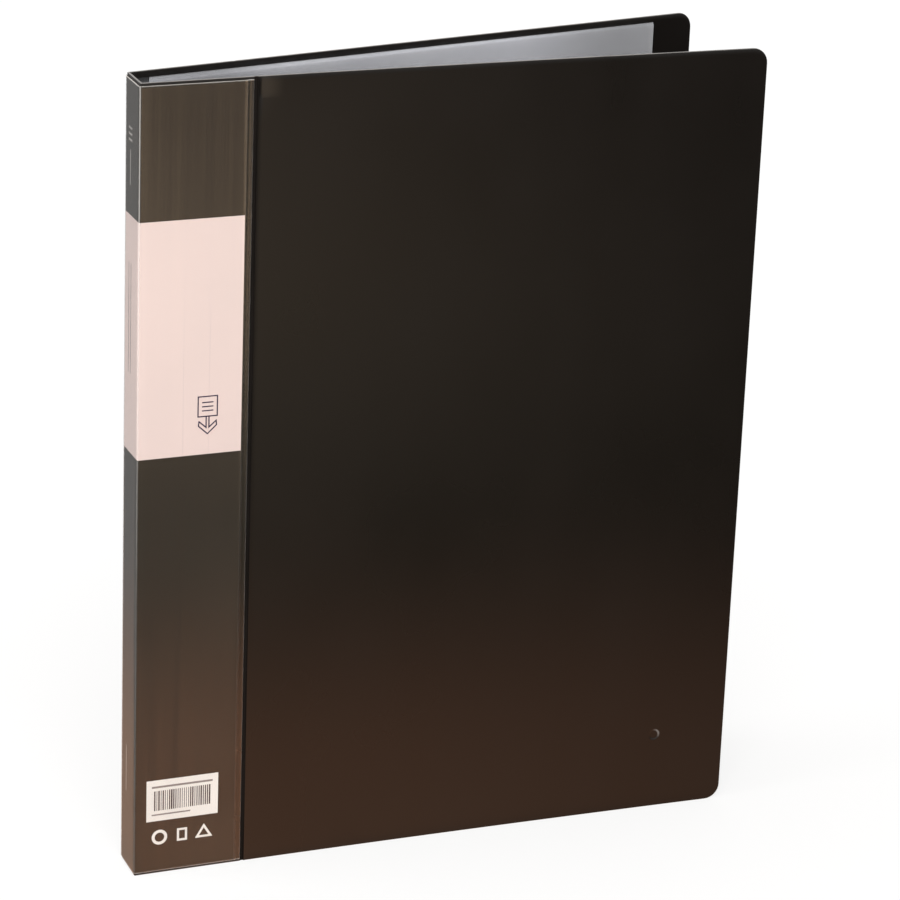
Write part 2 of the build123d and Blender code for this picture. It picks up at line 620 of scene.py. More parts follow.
class Paint(Graph):
    """The graph of a new material with a Principled shader."""

    def __init__(self, name: str) -> None:
        """Start a material.

        Args:
            name: Its name.
        """
        self.material = bpy.data.materials.new(name)
        self.material.use_nodes = True
        super().__init__(self.material.node_tree)
        self.tree.nodes.clear()
        self.shader = self.add("ShaderNodeBsdfPrincipled")

    def effect(self, group: Tree, *values: float) -> Any:
        """Place a shared effect, with its inputs in order, and give its outputs."""
        return self.add("ShaderNodeGroup", dict(enumerate(values)), node_tree=group).outputs

    def grain(self, sizes: Flat) -> Any:
        """Give the height and mottle of a pressed grain, by its fineness and mottle size."""
        return self.effect(effects.grain, *sizes)

    def streaks(self, scales: Flat) -> Socket:
        """Give upright streaks, by their scale across and along."""
        return self.effect(effects.streaks, *scales)[0]

    def cut_edge(self, unevenness: float) -> Socket:
        """Give the mask of the cut edges."""
        return self.effect(effects.cut_edge, unevenness)[0]

    def over(self, share: Any, first: Socket, second: Socket) -> Socket:
        """Mix two shaders."""
        return self.out("ShaderNodeMixShader", {0: share, 1: first, 2: second})

    def close(self, looks: dict[str, Any], surface: Socket | None = None) -> Material:
        """Set the shader's inputs and join the output.

        Args:
            looks: Values or sockets for the shader's inputs.
            surface: What the material shows, if that isn't the shader alone.

        Returns:
            The material.
        """
        self.feed(self.shader, looks)
        shown = self.shader.outputs[0] if surface is None else surface
        self.add("ShaderNodeOutputMaterial", {"Surface": shown})
        return self.material


@dataclass(frozen=True)
class SheetFinish:
    """Black matt sheet with a fine pressed grain, paler where it is cut."""

    name: str = "black_sheet"
    dark: Colour = (0.0044, 0.0031, 0.0023, 1.0)
    light: Colour = (0.0064, 0.0045, 0.0033, 1.0)
    cut: Colour = (0.36, 0.34, 0.325, 1.0)
    rough: Flat = (0.25, 0.33)
    grain: Flat = (2600.0, 11.0)
    streaks: Flat = (40.0, 9.0)
    streak_share: float = 0.35
    usual_tone: Flat = (0.4, 1.0)
    unevenness: float = 0.7
    shine: float = 0.6
    # share of the painted highlight on the lit wall of the dished mark
    scuff: float = 0.5
    bump: Flat = (0.22, 0.00004)

    def material(self) -> Material:
        """Build the material.

        Returns:
            The material.
        """
        paint = Paint(self.name)
        grain = paint.grain(self.grain)
        streaks = paint.streaks(self.streaks)
        mottle = paint.math("MULTIPLY_ADD", streaks, self.streak_share, grain["Mottle"])
        tone = paint.scale(mottle, *self.usual_tone)
        # painted highlight: the dished mark's upper right wall is blended towards the pale cut colour
        scuff = paint.math("MULTIPLY", paint.attribute("scuff"), self.scuff)
        highlighted = paint.blend(scuff, paint.blend(tone, self.dark, self.light), self.cut)
        looks = {
            "Base Color": paint.blend(paint.cut_edge(self.unevenness), highlighted, self.cut),
            "Roughness": paint.scale(tone, 0.0, 1.0, *self.rough),
            "Specular IOR Level": self.shine,
            "Normal": paint.bump(grain["Height"], *self.bump),
        }
        return paint.close(looks)


@dataclass(frozen=True)
class TwoToneFinish:
    """A finish that wanders between two colours and two roughnesses.

    It follows upright streaks, given by their scale across and along, or else the mottling of a pressed
    grain, given by its fineness and mottle size. A bump, given by strength and depth, raises that grain.
    """

    name: str
    first: Colour
    second: Colour
    rough: Flat
    shine: float = 0.5
    grain: Flat | None = None
    streaks: Flat | None = None
    bump: Flat | None = None

    def material(self) -> Material:
        """Build the material.

        Returns:
            The material.
        """
        paint = Paint(self.name)
        looks: dict[str, Any] = {"Specular IOR Level": self.shine}
        if self.grain:
            grain = paint.grain(self.grain)
            mask = grain["Mottle"]
        if self.streaks:
            mask = paint.streaks(self.streaks)
        if self.bump:
            looks["Normal"] = paint.bump(grain["Height"], *self.bump)
        tone = paint.even(mask)
        looks["Base Color"] = paint.blend(tone, self.first, self.second)
        looks["Roughness"] = paint.scale(tone, 0.0, 1.0, *self.rough)
        return paint.close(looks)


PRESSED_LINE = TwoToneFinish(
    "pressed_line",
    first=(0.0062, 0.0047, 0.0038, 1.0),
    second=(0.0105, 0.0080, 0.0066, 1.0),
    rough=(0.6, 0.75),
    shine=0.1,
    streaks=(900.0, 24.0),
)
FUSED_FILM = TwoToneFinish(
    "fused_film",
    first=(0.020, 0.0205, 0.022, 1.0),
    second=(0.050, 0.051, 0.055, 1.0),
    rough=(0.22, 0.4),
    grain=(2400.0, 30.0),
    streaks=(4200.0, 40.0),
    bump=(0.2, 0.00005),
)


def ink_finish(ink: Ink, thinned: float = 0.9, card_through: float = 0.004) -> TwoToneFinish:
    """Give the finish of an ink, which is a little thinner in places.

    Args:
        ink: The ink.
        thinned: Share of its colour where it is thin.
        card_through: What the card under it adds there.

    Returns:
        The finish.
    """
    thin = (*(part * thinned + card_through for part in ink.value[:3]), 1.0)
    name = f"ink_{ink.name.lower()}"
    return TwoToneFinish(name, ink.value, thin, rough=(0.42, 0.5), shine=0.2, grain=(5200.0, 60.0))


@dataclass(frozen=True)
class FilmFinish:
    """Clear glossy film: it mirrors on both its faces, and is milky where it is cut, creased or welded."""

    name: str = "clear_film"
    mirror: Colour = (0.93, 0.90, 0.86, 1.0)
    through: Colour = (0.985, 0.985, 0.982, 1.0)
    index: float = 1.46
    cut_edge: float = 0.45
    full_milk: float = 0.3
    rough: Flat = (0.10, 0.24)
    streaks: Flat = (300.0, 5.0)
    usual_streak: Flat = (0.3, 0.75)
    scratches: Flat = (800.0, 4.0)
    deep_scratch: Flat = (0.66, 0.80)
    scratch_rough: float = 0.2
    bump: Flat = (0.3, 0.0002)

    def material(self) -> Material:
        """Build the material.

        Returns:
            The material.
        """
        paint = Paint(self.name)
        streak = paint.streaks(self.streaks)
        smooth = paint.scale(streak, *self.usual_streak, *self.rough)
        scratched = paint.scale(paint.streaks(self.scratches), *self.deep_scratch, 0.0, self.scratch_rough)
        rim = paint.math("MULTIPLY", paint.attribute("rim"), self.cut_edge)
        # the crease attribute holds the fold's whitening and its painted highlight
        milky = paint.math("MAXIMUM", rim, paint.attribute("crease"))
        looks = {
            "Base Color": self.mirror,
            "Roughness": paint.math("ADD", smooth, scratched),
            "Metallic": paint.scale(milky, 0.0, self.full_milk, 1.0, 0.0),
            "Normal": paint.bump(streak, *self.bump),
        }
        fresnel = paint.out("ShaderNodeFresnel", {"IOR": self.index})
        doubled = paint.math("MULTIPLY", fresnel, 2.0)
        both = paint.math("DIVIDE", doubled, paint.math("ADD", fresnel, 1.0))
        behind = paint.out("ShaderNodeNewGeometry", output="Backfacing")
        outward = paint.math("SUBTRACT", 1.0, behind)
        share = paint.math("MULTIPLY", paint.math("ADD", both, milky), outward)
        clear = paint.out("ShaderNodeBsdfTransparent", {"Color": self.through})
        return paint.close(looks, paint.over(share, clear, paint.shader.outputs[0]))


@dataclass(frozen=True)
class CardFinish:
    """Printed card: black, with a pale band across it."""

    name: str = "printed_card"
    black: Colour = (0.0295, 0.0222, 0.0162, 1.0)
    faded: Colour = (0.0370, 0.0273, 0.0196, 1.0)
    band: Colour = (0.832, 0.679, 0.650, 1.0)
    band_shade: Colour = (0.804, 0.662, 0.634, 1.0)
    core: Colour = (0.55, 0.50, 0.47, 1.0)
    band_low: float = 168.5
    band_high: float = 258.8
    grain: Flat = (5200.0, 24.0)
    unevenness: float = 0.5
    rough: Flat = (0.48, 0.58)
    shine: float = 0.2

    def material(self) -> Material:
        """Build the material.

        Returns:
            The material.
        """
        paint = Paint(self.name)
        z = paint.parts(paint.here())[2]
        above = paint.math("GREATER_THAN", z, self.band_low * MM)
        below = paint.math("LESS_THAN", z, self.band_high * MM)
        mottle = paint.even(paint.grain(self.grain)["Mottle"])
        ground = paint.blend(mottle, self.black, self.faded)
        pale = paint.blend(mottle, self.band, self.band_shade)
        printed = paint.blend(paint.math("MULTIPLY", above, below), ground, pale)
        looks = {
            "Base Color": paint.blend(paint.cut_edge(self.unevenness), printed, self.core),
            "Roughness": paint.scale(mottle, 0.0, 1.0, *self.rough),
            "Specular IOR Level": self.shine,
        }
        return paint.close(looks)


@dataclass(frozen=True)
class PocketFinish:
    """Clear pocket film with a soft haze, milkier at its welds, with painted shade and sheen along its
    length.
    """

    name: str = "pocket_film"
    haze: Colour = (0.69, 0.70, 0.745, 1.0)
    pale: Colour = (0.73, 0.74, 0.775, 1.0)
    clear: float = 0.22
    milky: float = 0.30
    uneven: float = 0.1
    grain: Flat = (3200.0, 9.0)
    streaks: Flat = (30.0, 12.0)
    rough: Flat = (0.24, 0.34)
    # painted shade and sheen: tones along the leaf, darker near the binding and the free edge, brighter in
    # the middle
    painted_shade_and_sheen: tuple[Flat, ...] = ((0.0, 0.80), (0.10, 0.75), (0.26, 1.04), (0.70, 1.16), (0.95, 0.76))

    def material(self) -> Material:
        """Build the material.

        Returns:
            The material.
        """
        paint = Paint(self.name)
        weld = paint.attribute("weld")
        # painted shade and sheen multiply the film's colour along its length
        tones = [(place, (tone, tone, tone, 1.0)) for place, tone in self.painted_shade_and_sheen]
        painted_shade_and_sheen = paint.ramp(paint.attribute("along"), tones)
        mottle = paint.even(paint.streaks(self.streaks))
        body = paint.blend(weld, paint.blend(mottle, self.haze, self.pale), self.pale)
        thin, thick = self.clear * (1 - self.uneven), self.clear * (1 + self.uneven)
        film = paint.scale(paint.grain(self.grain)["Mottle"], *USUAL_NOISE, thin, thick)
        looks = {
            "Base Color": paint.blend(1.0, body, painted_shade_and_sheen, "MULTIPLY"),
            "Roughness": paint.scale(mottle, 0.0, 1.0, *self.rough),
            "Alpha": paint.math("MULTIPLY_ADD", weld, self.milky - self.clear, film),
        }
        return paint.close(looks)


@dataclass
class FoldedCover:
    """One cover with its fold and half of the spine, cut from the black sheet.

    The front cover has a press mark beside the upper end of its groove, and a round dished mark near its
    foot. stop_edges are distances from the groove at which the press mark's walls start and end.
    """

    side: Side
    plan: CoverPlan
    thickness: float = 0.8
    corner: float = 6.0
    rim: float = 0.16
    groove_start: float = 41.9
    groove_width: float = 1.6
    groove_depth: float = 0.34
    groove_wall: float = 0.3
    groove_lip: float = 0.06
    groove_slack: float = 0.01
    stop_edges: tuple[float, ...] = (0.3, 0.6, 1.7, 2.0)
    stop_height: float = 8.2
    stop_depth: float = 0.1
    stop_wall: float = 0.4
    stop_margin: float = 2.0
    foot: float = 9.0
    mark_across: float = 214.6
    mark_up: float = 31.3
    mark_radius: float = 2.0
    mark_depth: float = 0.22
    mark_band: float = 0.9
    mark_margin: float = 1.2
    mark_step: float = 0.2
    # the way, across and up, that the dished mark's lit wall faces, for its painted highlight
    painted_highlight_way: Flat = (0.85, 0.53)

    @property
    def groove_end(self) -> float:
        """Distance from the fold at which the groove ends."""
        return self.groove_start + self.groove_width

    def relief(self, s: float, z: float) -> float:
        """Give the height of the outer face over the flat sheet.

        Args:
            s: Length along the strip.
            z: Height above the floor.

        Returns:
            The height at that place.
        """
        u, near, far = s - self.plan.panel, self.groove_start, self.groove_end
        wall, deep = self.groove_wall, -self.groove_depth
        section = (
            (near, 0.0),
            (near + wall, deep),
            (far - wall, deep),
            (far, self.groove_lip),
            (far + 2 * wall, 0.0),
        )
        height = between(u, section)[0]
        if self.side is Side.BACK:
            return height
        stop = [(far + edge, share) for edge, share in zip(self.stop_edges, (0.0, 1.0, 1.0, 0.0))]
        below = self.plan.height - self.stop_height
        into = between(u, stop)[0] * between(z, ((below, 0.0), (below + self.stop_wall, 1.0)))[0]
        height -= self.stop_depth * into
        off = hypot(u - self.mark_across, z - self.mark_up) - self.mark_radius
        share = min(max(0.5 - off / self.mark_band, 0.0), 1.0)
        return height - self.mark_depth * share * share * (3 - 2 * share)

    def painted_highlight_at(self, s: float, z: float) -> float:
        """Give the painted highlight on the upper outer wall of the dished mark, where light catches it.

        Args:
            s: Length along the strip.
            z: Height above the floor.

        Returns:
            The share of painted highlight at that place.
        """
        across, up = s - self.plan.panel - self.mark_across, z - self.mark_up
        far = hypot(across, up)
        if self.side is Side.BACK or not 0 < far < 2 * self.mark_radius:
            return 0.0
        wall = max(0.0, 1 - ((far - self.mark_radius) / (self.mark_band / 2)) ** 2)
        return wall * max(0.0, (self.painted_highlight_way[0] * across + self.painted_highlight_way[1] * up) / far) ** 2

    def pressed(self, s: float, z: float) -> float:
        """Tell whether a place lies in the groove."""
        into = s - self.plan.panel - self.groove_start
        return float(self.groove_slack < into < self.groove_width - self.groove_slack)

    def build(self) -> Mesh:
        """Build the mesh of the cover, with columns and rows closer together where it has a relief.

        Returns:
            The mesh.
        """
        plan, half = self.plan, self.thickness / 2
        near, far, wall = self.groove_start, self.groove_end, self.groove_wall
        span, flat_end = self.mark_radius + self.mark_margin, plan.length - self.corner
        left, right = self.mark_across - span, self.mark_across + span
        across = spread(0, near, step=6.0)
        across += [near, near + wall / 2, near + wall, far - wall, far - wall / 2, far]
        across += [far + edge for edge in self.stop_edges[:3]]
        across += spread(far + self.stop_edges[3], left, step=8.0) + spread(left, right, self.mark_step)
        across += spread(right, flat_end, step=6.0) + [flat_end]
        low, high, stop = self.mark_up - span, self.mark_up + span, plan.height - self.stop_height
        rows = spread(0, self.foot, step=3.0) + spread(self.foot, low, step=6.0)
        rows += spread(low, high, self.mark_step) + spread(high, stop, step=12.0)
        rows += [stop, stop + self.stop_wall]
        rows += spread(stop + self.stop_margin, plan.height, step=2.0) + [plan.height]
        sheet = Sheet(
            columns=plan.columns(plan.panel) + [plan.panel + u for u in across],
            rows=rows,
            end=plan.panel + plan.length,
            corner=self.corner,
            rim=self.rim,
            skin=lambda s, z: (-half, half + self.relief(s, z)),
            place=plan.place,
            marks={"pressed": self.pressed, "scuff": self.painted_highlight_at},
        )
        return sheet.mesh(f"{self.side.value}_sheet")

    def dress(self, finish: Material, pressed: Material) -> None:
        """Make the piece and bake its place into its mesh.

        Args:
            finish: The sheet's material.
            pressed: The material of the groove.
        """
        nodes = (self.side.cover, self.side.fold, "spine_panel")
        piece = new_piece(f"{self.side.value}_sheet", self.build(), finish, nodes)
        piece.data.materials.append(pressed)
        marks = piece.data.attributes["pressed"].data
        low = {index for index, mark in enumerate(marks) if mark.value > 0.5}
        outer = len(marks) // 2
        for face in piece.data.polygons:
            inside = [corner for corner in face.vertices if corner in low]
            face.material_index = int(len(inside) >= 2 and min(face.vertices) < outer)
        self.plan.bend(piece, self.side.cover)


@dataclass
class ClearSleeve:
    """Half of the clear sleeve: film from the middle of the spine to its weld on a cover.

    weld_profile gives the film's inner and outer offset by the distance from its end: it lies free, and is
    pressed down at the weld between two raised edges. fold_milk_and_highlight gives the crease's whitening
    with a painted highlight, by height, much stronger towards the top.
    """

    side: Side
    plan: CoverPlan
    end: float = 41.8
    weld: float = 2.2
    weld_profile: tuple[Triple, ...] = (
        (-2.7, 0.7, 0.9),
        (-2.35, 0.7, 1.04),
        (-2.05, 0.55, 1.0),
        (-1.75, 0.42, 0.66),
        (-0.75, 0.42, 0.64),
        (-0.4, 0.42, 0.82),
        (-0.1, 0.42, 0.80),
        (0.0, 0.42, 0.68),
    )
    weld_columns: tuple[float, ...] = (-5.2, -3.7, -2.7, -2.35, -2.2, -2.05, -1.75, -0.75, -0.4, -0.25, -0.1)
    inset: float = 1.0
    corner: float = 0.1
    rim: float = 0.07
    lip: float = 1.2
    lip_out: float = 0.22
    lip_fade: float = 3.0
    crease_width: float = 0.32
    # crease whitening plus a painted highlight, by height: much stronger towards the top
    fold_milk_and_highlight: tuple[Flat, ...] = ((110.0, 0.133), (240.0, 0.38))
    line_milk: float = 0.06
    line_width: float = 0.2
    line_inset: float = 0.25
    weld_milk: float = 0.006
    border: float = 0.6
    border_milk: float = 0.3
    fine_step: float = 0.2

    @property
    def top(self) -> float:
        """Height of the film's mouth."""
        return self.plan.height - self.inset

    def skin(self, s: float, z: float) -> tuple[float, ...]:
        """Give the film's inner and outer offset, which lift a little at its mouth.

        Args:
            s: Length along the strip.
            z: Height above the floor.

        Returns:
            The two offsets at that place.
        """
        u, start = s - self.plan.panel, self.end - self.weld
        rise = max(0.0, z - (self.top - self.lip)) / self.lip
        lift = self.lip_out * rise * rise * between(u, ((start - self.lip_fade, 1.0), (start, 0.0)))[0]
        return tuple(offset + lift for offset in between(u - self.end, self.weld_profile))

    def milk_and_fold_highlight(self, s: float, z: float) -> float:
        """Give how milky the film is: on the crease at the fold, on the weld and along its borders. The
        crease also holds a painted highlight, much stronger towards the top.

        Args:
            s: Length along the strip.
            z: Height above the floor.

        Returns:
            The share of milk at that place.
        """
        u, start = s - self.plan.panel, self.end - self.weld
        fold = 1 - abs(u + self.plan.turn / 2) / (self.crease_width * self.plan.turn)
        line = 1 - min(abs(u - start), abs(u - self.end + self.line_inset)) / self.line_width
        border = 1 - min(z - self.inset, self.top - z) / self.border
        # painted highlight: the fold's milk rises with height, where light catches the top of the fold
        crease = between(z, self.fold_milk_and_highlight)[0] * fold
        weld = self.weld_milk * float(u > start)
        return max(crease, self.line_milk * line, weld, self.border_milk * border, 0.0)

    def build(self) -> Mesh:
        """Build the mesh of the film.

        Returns:
            The mesh.
        """
        plan, foot, mouth = self.plan, self.inset + self.border, self.top - self.lip
        across = spread(0, self.end + self.weld_columns[0], step=4.0)
        across += [self.end + u for u in self.weld_columns]
        rows = spread(self.inset, foot, self.fine_step) + spread(foot, mouth, step=14.0)
        sheet = Sheet(
            columns=plan.columns(plan.panel) + [plan.panel + u for u in across],
            rows=rows + spread(mouth, self.top, self.fine_step) + [self.top],
            end=plan.panel + self.end,
            corner=self.corner,
            rim=self.rim,
            skin=self.skin,
            place=plan.place,
            corner_steps=2,
            rim_steps=2,
            marks={"crease": self.milk_and_fold_highlight},
        )
        return sheet.mesh(f"{self.side.value}_sleeve_film")

    def dress(self, finish: Material) -> None:
        """Make the piece and bake its place into its mesh.

        Args:
            finish: The film's material.
        """
        nodes = (f"{self.side.value}_sleeve", "spine_sleeve")
        piece = new_piece(f"{self.side.value}_sleeve_film", self.build(), finish, nodes)
        self.plan.bend(piece, self.side.cover)


def ribbon(points: Sequence[Flat], width: float, closed: bool) -> tuple[list[Flat], list[Flat]]:
    """Give a line a width, with mitred corners.

    Args:
        points: The line's corners.
        width: Its width.
        closed: Whether its last corner joins its first.

    Returns:
        The corners of its left and right side.
    """
    left, right = [], []
    sharpest_mitre = 0.35
    count = len(points)
    for index, (x, y) in enumerate(points):
        before = points[index - 1] if closed or index else None
        after = points[(index + 1) % count] if closed or index < count - 1 else None
        sides = []
        for first, second in ((before, (x, y)), ((x, y), after)):
            if first is not None and second is not None:
                sides.append(Vector((first[1] - second[1], second[0] - first[0])).normalized())
        mitre = (sides[0] + sides[-1]).normalized()
        reach = width / 2 / max(sharpest_mitre, mitre.dot(sides[0]))
        left.append((x + mitre.x * reach, y + mitre.y * reach))
        right.append((x - mitre.x * reach, y - mitre.y * reach))
    return left, right


@dataclass(frozen=True)
class Stroke:
    """One printed line: its width, its corners as lengths and heights, and whether it closes on itself."""

    width: float
    spots: tuple[Flat, ...]
    closed: bool = False

    @classmethod
    def level(cls, width: float, left: float, right: float, z: float) -> "Stroke":
        """Give a level line."""
        return cls(width, ((left, z), (right, z)))

    @classmethod
    def upright(cls, width: float, across: float, low: float, high: float) -> "Stroke":
        """Give an upright line."""
        return cls(width, ((across, low), (across, high)))

    @classmethod
    def ring(cls, width: float, x: float, z: float, radius: float, corners: int = 32) -> "Stroke":
        """Give a round line about a middle."""
        turns = [2 * pi * step / corners for step in range(corners)]
        return cls(width, tuple((x + radius * cos(turn), z + radius * sin(turn)) for turn in turns), True)

    def stops(self, step: float) -> list[Flat]:
        """List places along the line, about a step apart.

        Args:
            step: How far apart they are.

        Returns:
            The places, with all the corners among them.
        """
        found = []
        ends = self.spots[1:] + self.spots[:1] if self.closed else self.spots[1:]
        for (s, z), (next_s, next_z) in zip(self.spots, ends):
            count = max(1, round(hypot(next_s - s, next_z - z) / step))
            found += [(s + (next_s - s) * k / count, z + (next_z - z) * k / count) for k in range(count)]
        return found if self.closed else [*found, self.spots[-1]]


@dataclass(frozen=True)
class Print:
    """Printed strokes that lie on one panel of the card as a thin coat of ink.

    Lengths of the strokes run along the strip from start.
    """

    plan: CoverPlan
    start: float
    body: str
    face: float = 0.652
    coat: float = 0.012
    step: float = 4.0

    def piece(self, name: str, strokes: Sequence[Stroke], ink: Material, lift: float = 0.0) -> None:
        """Print strokes as one piece.

        Args:
            name: The piece's name.
            strokes: The strokes.
            ink: Their material.
            lift: How far over the card's face they lie, on another print.
        """
        points: list[Vector] = []
        faces: list[tuple[int, ...]] = []
        low = self.face + lift
        for stroke in strokes:
            stops = stroke.stops(self.step)
            left, right = ribbon(stops, stroke.width, stroke.closed)
            count = len(stops)
            loop = [len(points) + count * row for row in (0, 1, 3, 2)]
            for offset in (low + self.coat, low):
                points += [self.plan.place(self.start + s, z, offset) for s, z in left + right]
            for index in range(count if stroke.closed else count - 1):
                after = (index + 1) % count
                for a, b in zip(loop, loop[1:] + loop[:1]):
                    faces.append((a + index, b + index, b + after, a + after))
            for index in () if stroke.closed else (0, count - 1):
                faces.append(tuple(row + index for row in loop))
        new_piece(name, closed_mesh(name, points, faces), ink, body=self.body)


def grown(tree: Tree, values: dict[str, Any]) -> Mesh:
    """Evaluate a geometry tree once.

    Args:
        tree: The tree.
        values: Its inputs by name.

    Returns:
        What it makes, as a plain mesh.
    """
    holder = bpy.data.objects.new(tree.name, bpy.data.meshes.new(tree.name))
    bpy.context.scene.collection.objects.link(holder)
    modifier = holder.modifiers.new(tree.name, "NODES")
    modifier.node_group = tree
    for item in tree.interface.items_tree:
        if item.in_out == "INPUT":
            modifier[item.identifier] = values[item.name]
    depsgraph = bpy.context.evaluated_depsgraph_get()
    made = holder.evaluated_get(depsgraph)
    mesh = bpy.data.meshes.new_from_object(made, preserve_all_data_layers=True, depsgraph=depsgraph)
    bpy.data.objects.remove(holder)
    return mesh


def laid(mesh: Mesh, place: Place) -> Mesh:
    """Move a mesh from flat x, depth y and height z to its place.

    Args:
        mesh: The flat mesh.
        place: Turns x, z and y into a point.

    Returns:
        The same mesh.
    """
    for vertex in mesh.vertices:
        x, y, z = vertex.co
        vertex.co = place(x, z, y)
    return mesh


def bar_tree() -> Tree:
    """Build the tree that prints a row of bars of seeded widths.

    Returns:
        The tree.
    """
    sizes = dict.fromkeys(("Pitch", "Height", "Coat", "Narrowest", "Widest"), FLOAT)
    inputs = {"Bars": INTEGER, **sizes, "Seed": INTEGER, "Ink": MATERIAL}
    graph = Group("bar_row", "GeometryNodeTree", inputs, {"Bars": GEOMETRY})
    bars, pitch, height, coat, narrowest, widest, seed, ink = graph.given
    line = graph.out("GeometryNodeMeshLine", {"Count": bars, "Offset": graph.vector(pitch)})
    bar = graph.out("GeometryNodeMeshCube", {"Size": graph.vector(1.0, coat, height)})
    limits = {2: narrowest, 3: widest, "Seed": seed}
    wide = graph.out("FunctionNodeRandomValue", limits, 1, data_type="FLOAT")
    stamp = {"Points": line, "Instance": bar, "Scale": graph.vector(wide, 1.0, 1.0)}
    solid = graph.solid(graph.out("GeometryNodeInstanceOnPoints", stamp))
    return graph.close(graph.out("GeometryNodeSetMaterial", {0: solid, "Material": ink}))


@dataclass
class PrintedInsert:
    """The card in the sleeve, parted on the crease of each fold, with its print.

    Lengths of the front print start beside the flat of the cover, and lengths of the spine's print at its
    rear fold. bars_place is the left end, middle height and offset of the row of bars.
    """

    front: CoverPlan
    back: CoverPlan
    end: float = 39.3
    inset: float = 1.2
    inner: float = 0.45
    outer: float = 0.65
    rim: float = 0.06
    corner: float = 0.1
    print_start: float = -0.4
    loading_mark: tuple[Stroke, ...] = (
        Stroke(0.48, ((22.9, 183.2), (30.3, 183.2), (30.3, 190.9), (22.9, 190.9)), closed=True),
        Stroke(
            0.48,
            (
                *((26.05, 183.2), (26.05, 178.9), (23.3, 181.3), (23.1, 179.6), (26.6, 176.4)),
                *((30.1, 179.6), (29.9, 181.3), (27.15, 178.9), (27.15, 183.2)),
            ),
        ),
        *(Stroke.level(0.46, 24.4, 28.8, z) for z in (188.6, 187.0, 185.4)),
    )
    code_patch: tuple[Stroke, ...] = (Stroke.level(17.0, 4.5, 33.0, 30.4),)
    code_rules: tuple[Stroke, ...] = (Stroke.level(0.8, 6.6, 30.8, 36.0), Stroke.level(0.6, 6.6, 22.0, 24.5))
    patch_lift: float = 0.013
    bars_place: Triple = (7.8, 30.3, 0.67)
    plain_marks: tuple[Stroke, ...] = (
        Stroke.ring(1.2, 9.8, 15.0, radius=2.5),
        Stroke(0.9, ((17.2, 12.8), (20.4, 12.8), (20.4, 17.2), (17.2, 17.2)), closed=True),
        Stroke(0.9, ((24.8, 13.0), (30.2, 13.0), (27.5, 17.4)), closed=True),
    )
    title_lines: tuple[Stroke, ...] = (
        Stroke.upright(0.4, -4.6, 199.0, 241.0),
        Stroke.upright(0.4, -7.2, 199.0, 241.0),
    )
    spine_strokes: tuple[Stroke, ...] = (
        *(Stroke.level(0.8, -3.4, -7.6, z) for z in (291.0, 288.8, 286.6)),
        Stroke.upright(0.7, -5.6, 270.0, 283.0),
        Stroke.upright(0.7, -5.6, 31.0, 50.0),
    )

    def panel(self, name: str, plan: CoverPlan, columns: list[float], end: float | None) -> Mesh:
        """Build one panel of the card.

        Args:
            name: The mesh's name.
            plan: Plan of the cover on that side.
            columns: Places along the strip.
            end: Where its cut edge is, or None if it has none.

        Returns:
            The mesh.
        """
        top = plan.height - self.inset
        sheet = Sheet(
            columns=columns,
            rows=spread(self.inset, top, step=14.0) + [top],
            end=columns[-1] if end is None else end,
            corner=self.corner,
            rim=self.rim,
            skin=lambda s, z: (self.inner, self.outer),
            place=plan.place,
            corner_steps=2,
            rim_steps=1,
            cut_end=end is not None,
        )
        return sheet.mesh(name)

    def half(self, side: Side, plan: CoverPlan, finish: Material) -> None:
        """Make the panel on one cover and the half of the spine's panel beside it.

        Args:
            side: The cover.
            plan: That cover's plan.
            finish: The card's material.
        """
        crease, flat_end = plan.half_spine + plan.turn / 2, self.end - self.corner
        flat = [plan.panel + u for u in spread(0, flat_end, step=4.0) + [flat_end]]
        cover_columns = spread(crease, plan.panel, plan.turn_step) + flat
        spine_columns = plan.columns(crease) + [crease]
        edge = plan.panel + self.end
        for name, columns, end, node, body in (
            (f"{side.value}_card", cover_columns, edge, f"{side.value}_insert", side.insert),
            (f"spine_card_{side.value}", spine_columns, None, "spine_insert", "insert_spine"),
        ):
            mesh = self.panel(name, plan, columns, end)
            new_piece(name, mesh, finish, (node,), body)

    def code_bars(self, front: Print, ink: Material) -> None:
        """Print the row of bars on the patch.

        Args:
            front: The front panel's print.
            ink: Their material.
        """
        row = {"Bars": 27, "Pitch": 0.84, "Height": 8.2, "Coat": 0.01, "Seed": 4}
        code = grown(bar_tree(), {**row, "Narrowest": 0.18, "Widest": 0.66, "Ink": ink})
        left, middle, face = self.bars_place
        left += front.start
        laid(code, lambda x, z, y: front.plan.place(left + x, middle + z, face + y))
        new_piece("code_bars", code, ink, body=front.body)

    def dress(self, finish: Material, inks: dict[Ink, Material]) -> None:
        """Make both halves and their print.

        Args:
            finish: The card's material.
            inks: Materials of the inks.
        """
        self.half(Side.FRONT, self.front, finish)
        self.half(Side.BACK, self.back, finish)
        front = Print(self.front, self.front.panel + self.print_start, Side.FRONT.insert)
        spine = Print(self.back, self.back.half_spine, "insert_spine")
        front.piece("loading_mark", self.loading_mark, inks[Ink.NAVY])
        front.piece("code_patch", self.code_patch, inks[Ink.WHITE])
        front.piece("code_rules", self.code_rules, inks[Ink.GREY], self.patch_lift)
        self.code_bars(front, inks[Ink.DARK])
        front.piece("plain_marks", self.plain_marks, inks[Ink.WHITE])
        spine.piece("title_lines", self.title_lines, inks[Ink.DARK])
        spine.piece("spine_strokes", self.spine_strokes, inks[Ink.PALE])


